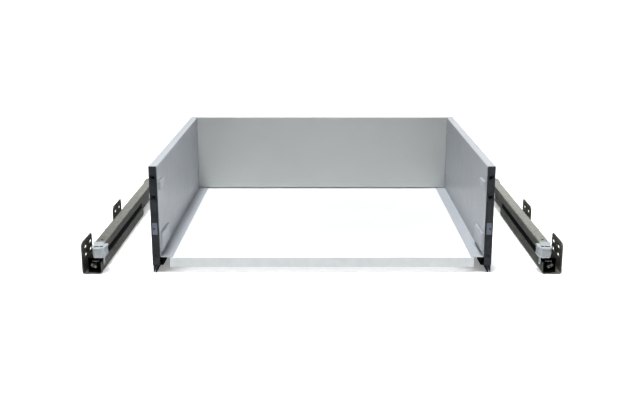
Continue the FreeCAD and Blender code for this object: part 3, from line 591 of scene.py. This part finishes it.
# ---- The drawer box ----------------------------------------------------------------------------------
@dataclass
class DrawerBox:
    """Base and back boards, the double-skinned steel sides and what holds them together."""

    shop: Workshop
    board_ease: float = 0.4 * MM
    sheet_ease: float = 0.25 * MM
    small_ease: float = 0.15 * MM
    band: float = 0.4 * MM
    clinch: float = 3.2 * MM
    clinch_rise: float = 0.35 * MM
    clinch_pitch: float = 86 * MM
    clinch_height: float = 14 * MM
    clinch_root: float = 0.2 * MM

    def build(self) -> None:
        """Add what the panels carry: the base board's edge band and the outer sheets' press joints."""
        self.edge_band()
        for side in Side:
            self.press_joints(side)

    def edge_band(self) -> None:
        """Glue a thin plastic band on the base board's front edge, a little short of its corners."""
        low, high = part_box("base_panel")
        short = self.band / 4
        band = Solid("base_edge_band")
        band.add(block((low.x + self.band, high.x - self.band), (low.z + short, high.z - short)),
                 (low.y + short, low.y - self.band), Axis.Y)
        self.shop.place(band.finish(self.band / 3), Finishes.EDGE_BAND, "drawer", "melamine_board")

    def press_joints(self, side: Side) -> None:
        """Raise the row of round press joints along the foot of an outer sheet.

        Args:
            side: Which side's sheet carries the row.
        """
        low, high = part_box("outer_skin_right")
        count = int((high.y - low.y - self.clinch_pitch) / self.clinch_pitch) + 1
        start = (low.y + high.y - (count - 1) * self.clinch_pitch) / 2
        row = Solid("press_joints" + side.tail)
        for i in range(count):
            centre = (start + i * self.clinch_pitch, low.z + self.clinch_height)
            row.add(disc(centre, self.clinch), (high.x - self.clinch_root, high.x + self.clinch_rise), Axis.X,
                    0.3 * self.clinch)
        piece = row.finish(self.clinch_rise / 4, side)
        self.shop.place(piece, Finishes.SIDE_COAT, "drawer", "coated_steel")

    def dress(self) -> None:
        """Give the boards, sheets and fixings their finishes."""
        self.shop.dress("base_panel", Finishes.BOARD, self.board_ease)
        # The back panel wears a darker copy of the white board: painted shade.
        self.shop.dress("back_panel", Finishes.BACK_BOARD_PAINTED_SHADE, self.board_ease)
        for side in Side:
            for name in ("inner_skin", "outer_skin"):
                self.shop.dress(name + side.tail, Finishes.SIDE_COAT, self.sheet_ease)
        for name in ("board_rails", "back_holders"):
            self.shop.dress(name, Finishes.GALVANISED, self.sheet_ease)
        for name in ("base_screws", "back_screws", "holder_rivets"):
            self.shop.dress(name, Finishes.ZINC_PLATE, self.small_ease)


@dataclass
class FrontFixing:
    """One side's black angle, its adjusters and the covers over them."""

    shop: Workshop
    side: Side
    sheet_ease: float = 0.25 * MM
    small_ease: float = 0.15 * MM
    cover_ease: float = 0.35 * MM
    cover_edge: float = 1.4 * MM
    cover_wall: float = 1.2 * MM
    grip: float = 5.0 * MM
    seam: float = 0.8 * MM
    seam_back: float = 3.2 * MM
    seam_margin: float = 3.0 * MM

    def build(self) -> None:
        """Mould the two clip-on covers: thin shells with sloping rims, a finger grip and a seam."""
        low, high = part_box("lower_cover_right")
        corner = 3.0 * MM
        outline = [(low.y, low.z), (high.y - corner, low.z), (high.y, low.z + corner),
                   (high.y, high.z - 2.0 * MM), (low.y + 1.5 * MM, high.z)]
        self.cover("lower_cover", low.x, high.x, outline, (high.y, (low.z + high.z) / 2))
        low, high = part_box("upper_cover_right")
        outline = [(low.y, low.z), (low.y + 27.5 * MM, low.z), (high.y, high.z - 3.5 * MM),
                   (high.y - 2.0 * MM, high.z - 1.5 * MM), (low.y, high.z)]
        self.cover("upper_cover", low.x, high.x, outline, None)

    def cover(self, name: str, face: float, wall: float, outline: list[Point2],
              grip: Optional[Point2]) -> None:
        """Mould one cover.

        Args:
            name: Node that the cover stands for, without its side.
            face: X of the cover's face.
            wall: X of the wall that it is clipped on.
            outline: Its corners on Y and Z.
            grip: Middle of the round finger grip, or None.
        """
        shell = Solid(name + "_shell" + self.side.tail)
        shell.add(outline, (wall, face + self.cover_edge), Axis.X)
        shell.add(outline, (face + self.cover_edge, face), Axis.X, self.cover_edge)
        shell.cut(drawn_in(outline, self.cover_wall), (wall + MM, face + self.cover_wall), Axis.X)
        front = outline[0][0] + self.seam_back
        heights = (outline[0][1] + self.seam_margin, outline[-1][1] - self.seam_margin)
        shell.cut(block((front, front + self.seam), heights), (face - MM, face + self.seam), Axis.X)
        if grip:
            shell.cut(disc(grip, self.grip), (face - MM, face + 0.6 * self.cover_wall), Axis.X)
        piece = shell.finish(self.cover_ease, self.side)
        self.shop.place(piece, Finishes.COVER_ABS, name + self.side.tail, "cover_plastic",
                        [name + self.side.tail])

    def dress(self) -> None:
        """Give the pressed, cast and moulded pieces their finishes."""
        tail = self.side.tail
        self.shop.dress("front_bracket" + tail, Finishes.DIP_PAINT, self.sheet_ease)
        self.shop.dress("front_bushes" + tail, Finishes.ZINC_CAST, self.small_ease)
        self.shop.dress("clamp_plate" + tail, Finishes.CLAMP_ZINC, self.small_ease)
        self.shop.dress("carriage" + tail, Finishes.ZINC_CAST, self.small_ease)
        self.shop.dress("height_cam" + tail, Finishes.ZINC_CAST, self.small_ease)
        self.shop.dress("side_screw" + tail, Finishes.ZINC_PLATE, self.small_ease)


@dataclass
class Runner:
    """One runner: cabinet profile, middle member, drawer member and all that runs between them."""

    shop: Workshop
    side: Side
    sheet_ease: float = 0.25 * MM
    small_ease: float = 0.12 * MM
    cap_ease: float = 0.4 * MM
    cap_facet: Point2 = (4.1 * MM, 8.2 * MM)
    cap_height: float = 16.5 * MM
    cap_band: float = 2.4 * MM
    cap_groove: float = 1.3 * MM
    leg_drop: float = 13.0 * MM
    cap_draft: float = 0.3 * MM
    cap_relief: float = 0.5 * MM
    rib_count: int = 3
    rib_start: float = 2.5 * MM
    rib_pitch: float = 4.0 * MM
    rib_width: float = 1.4 * MM
    rib_depth: float = 0.8 * MM

    def build(self) -> None:
        """Mould the runner's end cap anew."""
        self.end_cap()

    def end_cap(self) -> None:
        """Mould the faceted cap on the drawer member's front end, with its pocket, grooves and leg."""
        name = "end_cap" + self.side.tail
        low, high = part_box("end_cap_right")
        member_low, member_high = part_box("drawer_member_right")
        front, rear = low.y, member_low.y
        foot = low.z + self.leg_drop
        top = foot + self.cap_height
        middle = (low.x + high.x) / 2
        across, back = self.cap_facet
        plan = [(low.x + across, front), (high.x - across, front), (high.x, front + back), (high.x, rear),
                (low.x, rear), (low.x, front + back)]
        cap = Solid(name + "_moulding")
        cap.add(drawn_in(plan, self.cap_relief), (foot, top - self.cap_band), Axis.Z, -self.cap_draft)
        cap.add(plan, (foot + 1.6 * MM, foot), Axis.Z, self.cap_draft)
        cap.add(plan, (top - self.cap_band, top), Axis.Z, self.cap_draft)
        groove_z = (top - self.cap_band - self.cap_groove, top - self.cap_band)
        for side in (-1, 1):
            near, far = sorted((middle + side * 1.8 * MM, middle + side * 6.4 * MM))
            cap.cut(block((near, far), (front - MM, front + 2.2 * MM)), groove_z, Axis.Z)
            for i in range(self.rib_count):
                start = front + back + self.rib_start + i * self.rib_pitch
                x = low.x if side < 0 else high.x
                cap.cut(block((x - self.rib_depth, x + self.rib_depth), (start, start + self.rib_width)),
                        (foot + 3 * MM, top - self.cap_band - MM), Axis.Z)
        sunk = block((middle - 5.2 * MM, middle + 5.2 * MM), (foot + 3.0 * MM, groove_z[0] - 1.6 * MM))
        cap.cut(sunk, (front - MM, front + 1.0 * MM), Axis.Y)
        pocket = block((low.x + 4.4 * MM, high.x - 3.4 * MM), (front + 7 * MM, front + 14 * MM))
        cap.cut(pocket, (top - 3.2 * MM, top + MM), Axis.Z)
        cap.add(block((middle - 0.7 * MM, middle + 0.7 * MM), (front + 6 * MM, front + 15 * MM)),
                (top - 3.4 * MM, top - 0.8 * MM), Axis.Z)
        shoulder = [(rear - 9 * MM, top - 0.2 * MM), (rear, top - 0.2 * MM), (rear, member_high.z),
                    (rear - 6.5 * MM, member_high.z)]
        cap.add(shoulder, (member_low.x + 0.1 * MM, high.x), Axis.X)
        leg = (low.x + 2.8 * MM, low.x + 4.3 * MM)
        cap.add(block(leg, (front + 6 * MM, front + 14 * MM)), (low.z, foot + MM), Axis.Z)
        corner = [(high.x + MM, foot - MM), (high.x + MM, foot + 7 * MM), (high.x - 7 * MM, foot - MM)]
        cap.cut(corner, (front - MM, rear + MM), Axis.Y)
        wall = 1.6 * MM
        cap.add(block((member_low.x + wall, high.x - wall), (foot + 5.7 * MM, member_high.z - 2.7 * MM)),
                (rear - MM, high.y), Axis.Y)
        self.shop.place(cap.finish(self.cap_ease, self.side), Finishes.GREY_ACETAL,
                        "member" + self.side.tail, "grey_plastic", [name])

    def dress(self) -> None:
        """Give the runner's pieces their finishes."""
        tail = self.side.tail
        for name in ("cabinet_profile", "drawer_member", "middle_member", "rear_hook"):
            self.shop.dress(name + tail, Finishes.GALVANISED, self.sheet_ease)
        for name in ("nose", "lower_cage", "upper_cage", "damper_slider"):
            self.shop.dress(name + tail, Finishes.BLACK_NYLON, self.small_ease)
        for name in ("latch_lever", "latch_plate", "lower_rollers", "upper_rollers"):
            self.shop.dress(name + tail, Finishes.ZINC_PLATE, self.small_ease)


@dataclass
class SharedPieces:
    """Small pieces of both sides that are grouped in one node each."""

    shop: Workshop
    ease: float = 0.15 * MM
    rib: float = 1.2 * MM
    rib_count: int = 11
    case_width: float = 11.6 * MM
    case_wall: float = 1.5 * MM
    slot_ahead: float = 48 * MM
    slot_behind: float = 11 * MM

    def build(self) -> None:
        """Mould the soft-close cases of both sides."""
        for side in Side:
            self.damper_case(side)

    def damper_case(self, side: Side) -> None:
        """Mould one soft-close case: ribbed sides, thicker ends and a slot along the top.

        Args:
            side: Which runner's case.
        """
        first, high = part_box("damper_cases")
        low = Vector((high.x - self.case_width, first.y, first.z))
        case = Solid("damper_case_moulding" + side.tail)
        inner = (low.x + self.rib / 2, high.x - self.rib / 2)
        case.add(block(inner, (low.y + self.rib, high.y - self.rib)), (low.z, high.z), Axis.Z)
        for y in (low.y, high.y - 3 * self.rib):
            case.add(block((low.x, high.x), (y, y + 3 * self.rib)), (low.z, high.z), Axis.Z)
        step = (high.y - low.y - 6 * self.rib) / self.rib_count
        for i in range(1, self.rib_count):
            y = low.y + 3 * self.rib + i * step
            case.add(block((low.x, high.x), (y - self.rib / 2, y + self.rib / 2)),
                     (low.z + self.rib, high.z - self.rib), Axis.Z)
        wall = self.case_wall
        case.cut(block((low.x + wall, high.x - wall), (low.y + wall, high.y - wall)),
                 (low.z + wall, high.z - wall), Axis.Z)
        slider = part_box("damper_slider_right")
        middle = (low.x + high.x) / 2
        slot = (slider[0].y - self.slot_ahead, slider[0].y + self.slot_behind)
        case.cut(block((middle - wall, middle + wall), slot), (high.z - 2 * wall, high.z + MM), Axis.Z)
        self.shop.place(case.finish(self.ease, side), Finishes.BLACK_NYLON, "cabinet_profiles",
                        "black_plastic", ["damper_cases"])

    def dress(self) -> None:
        """Give each group its finish."""
        for name in ("adjuster_guides", "coupling_blocks", "side_guides"):
            self.shop.dress(name, Finishes.BLACK_NYLON, 2 * self.ease)
        self.shop.dress("cabinet_rails", Finishes.GALVANISED, self.ease)
        self.shop.dress("rail_rivets", Finishes.ZINC_PLATE, self.ease)
        self.shop.dress("damper_cylinders", Finishes.ZINC_PLATE, self.ease)


# ---- Studio ------------------------------------------------------------------------------------------
@dataclass
class Lamp:
    """A soft panel of light, aimed at a point."""

    name: str
    place: tuple[float, float, float]
    aim: tuple[float, float, float]
    size: Point2
    power: float
    colour: str = "#ffffff"

    def build(self) -> bpy.types.Object:
        """Make the lamp, turn it to its aim and hide its panel from the camera."""
        light = bpy.data.lights.new(self.name, "AREA")
        light.shape = "RECTANGLE"
        light.size, light.size_y = self.size
        light.energy = self.power
        light.color = linear(self.colour)[:3]
        lamp = bpy.data.objects.new(self.name, light)
        lamp.location = self.place
        lamp.rotation_euler = (Vector(self.aim) - Vector(self.place)).to_track_quat("-Z", "Y").to_euler()
        lamp.visible_camera = False
        bpy.context.scene.collection.objects.link(lamp)
        return lamp


@dataclass
class Studio:
    """Camera, soft lights and a pale floor."""

    distance: float = 1.65975
    height: float = 0.4836
    pitch: float = 14.33
    lens_mm: float = 51.19
    aside: float = -0.003125
    floor_half: float = 40.0
    key_from: tuple[float, float, float] = (-0.07, -0.05, 1.0)
    key_strength: float = 2.3
    key_softness: float = 8.0
    fill_power: float = 1.9
    rear_power: float = 17.0
    top_power: float = 4.6
    paler_towards: tuple[float, float, float] = (0.8, 0.2, 0.5)
    world_low: float = 0.02
    world_high: float = 0.14
    contrast: float = 0.72

    def camera(self) -> None:
        """Place the camera straight in front of the drawer, above it and tilted down."""
        data = bpy.data.cameras.new("camera")
        data.lens = self.lens_mm
        data.shift_x = self.aside
        camera = bpy.data.objects.new("camera", data)
        camera.location = (0, -self.distance, self.height)
        camera.rotation_euler = (math.radians(90 - self.pitch), 0, 0)
        bpy.context.scene.collection.objects.link(camera)
        bpy.context.scene.camera = camera

    def lamps(self) -> None:
        """Set the key light high and a little to the left, and the panels at the front and rear right."""
        light = bpy.data.lights.new("key", "SUN")
        light.energy = self.key_strength
        light.angle = math.radians(self.key_softness)
        key = bpy.data.objects.new("key", light)
        key.rotation_euler = (-Vector(self.key_from)).to_track_quat("-Z", "Y").to_euler()
        bpy.context.scene.collection.objects.link(key)
        Lamp("front_fill", (0.3, -2.8, 1.2), (0, 0, 0.1), (2.4, 1.2), self.fill_power).build()
        Lamp("top_front", (-0.05, -0.4, 1.0), (0, -0.3, 0), (0.9, 0.4), self.top_power).build()
        Lamp("rear", (0.75, 2.7, 0.75), (0.1, 0, 0.1), (4.0, 0.8), self.rear_power).build()

    def world(self) -> None:
        """Surround the object with a dim light that is paler towards the right."""
        world = bpy.data.worlds.new("studio")
        bpy.context.scene.world = world
        world.use_nodes = True
        tree = world.node_tree
        tree.nodes.clear()
        place = add_node(tree, "ShaderNodeTexCoord")
        towards = add_node(tree, "ShaderNodeVectorMath", {"operation": "DOT_PRODUCT", 1: self.paler_towards},
                           {0: place.outputs["Generated"]})
        strength = add_node(tree, "ShaderNodeMapRange", {
            "From Min": -1.0, "From Max": 1.0, "To Min": self.world_low, "To Max": self.world_high},
            {"Value": towards.outputs["Value"]})
        around = add_node(tree, "ShaderNodeBackground", {"Color": linear("#f6f9ff")},
                          {"Strength": strength.outputs[0]})
        add_node(tree, "ShaderNodeOutputWorld", links={"Surface": around.outputs[0]})

    def floor(self) -> None:
        """Lay the pale floor under the object, left out of reflections so that steel keeps its tone."""
        half = self.floor_half
        floor = draw_out("floor", block((-half, half), (-half, half)), (-0.01, 0.0), Axis.Z)
        floor.data.materials.append(StudioPaper("studio_paper", "#f7f7f7", "#fbfbfb", 0.8, glow=0.35).build())
        floor.visible_glossy = False

    def backdrop(self) -> None:
        """Close the view with pale paper far behind, which neither lights nor shades the object."""
        paper = draw_out("backdrop", disc((0, 0), self.floor_half, 64), (-0.02, self.floor_half), Axis.Z)
        paper.data.materials.append(StudioPaper("backdrop_paper", "#f7f7f7", "#fbfbfb", 0.8, glow=1.6).build())
        paper.visible_diffuse = paper.visible_glossy = paper.visible_shadow = False

    def build(self) -> None:
        """Set up the whole studio."""
        self.camera()
        self.lamps()
        self.world()
        self.floor()
        self.backdrop()
        view = bpy.context.scene.view_settings
        view.view_transform = "Standard"
        view.gamma = self.contrast


def main() -> None:
    """Load the frame, set up the studio, and build and dress every sub-assembly."""
    logging.basicConfig(level=logging.INFO, format="%(name)s: %(message)s")
    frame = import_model()
    Studio().build()
    shop = Workshop(frame["nodes"])
    parts: list[Any] = [DrawerBox(shop)]
    for side in Side:
        parts += [FrontFixing(shop, side), Runner(shop, side)]
    parts.append(SharedPieces(shop))
    for part in parts:
        part.build()
        part.dress()


if __name__ == "__main__":
    main()
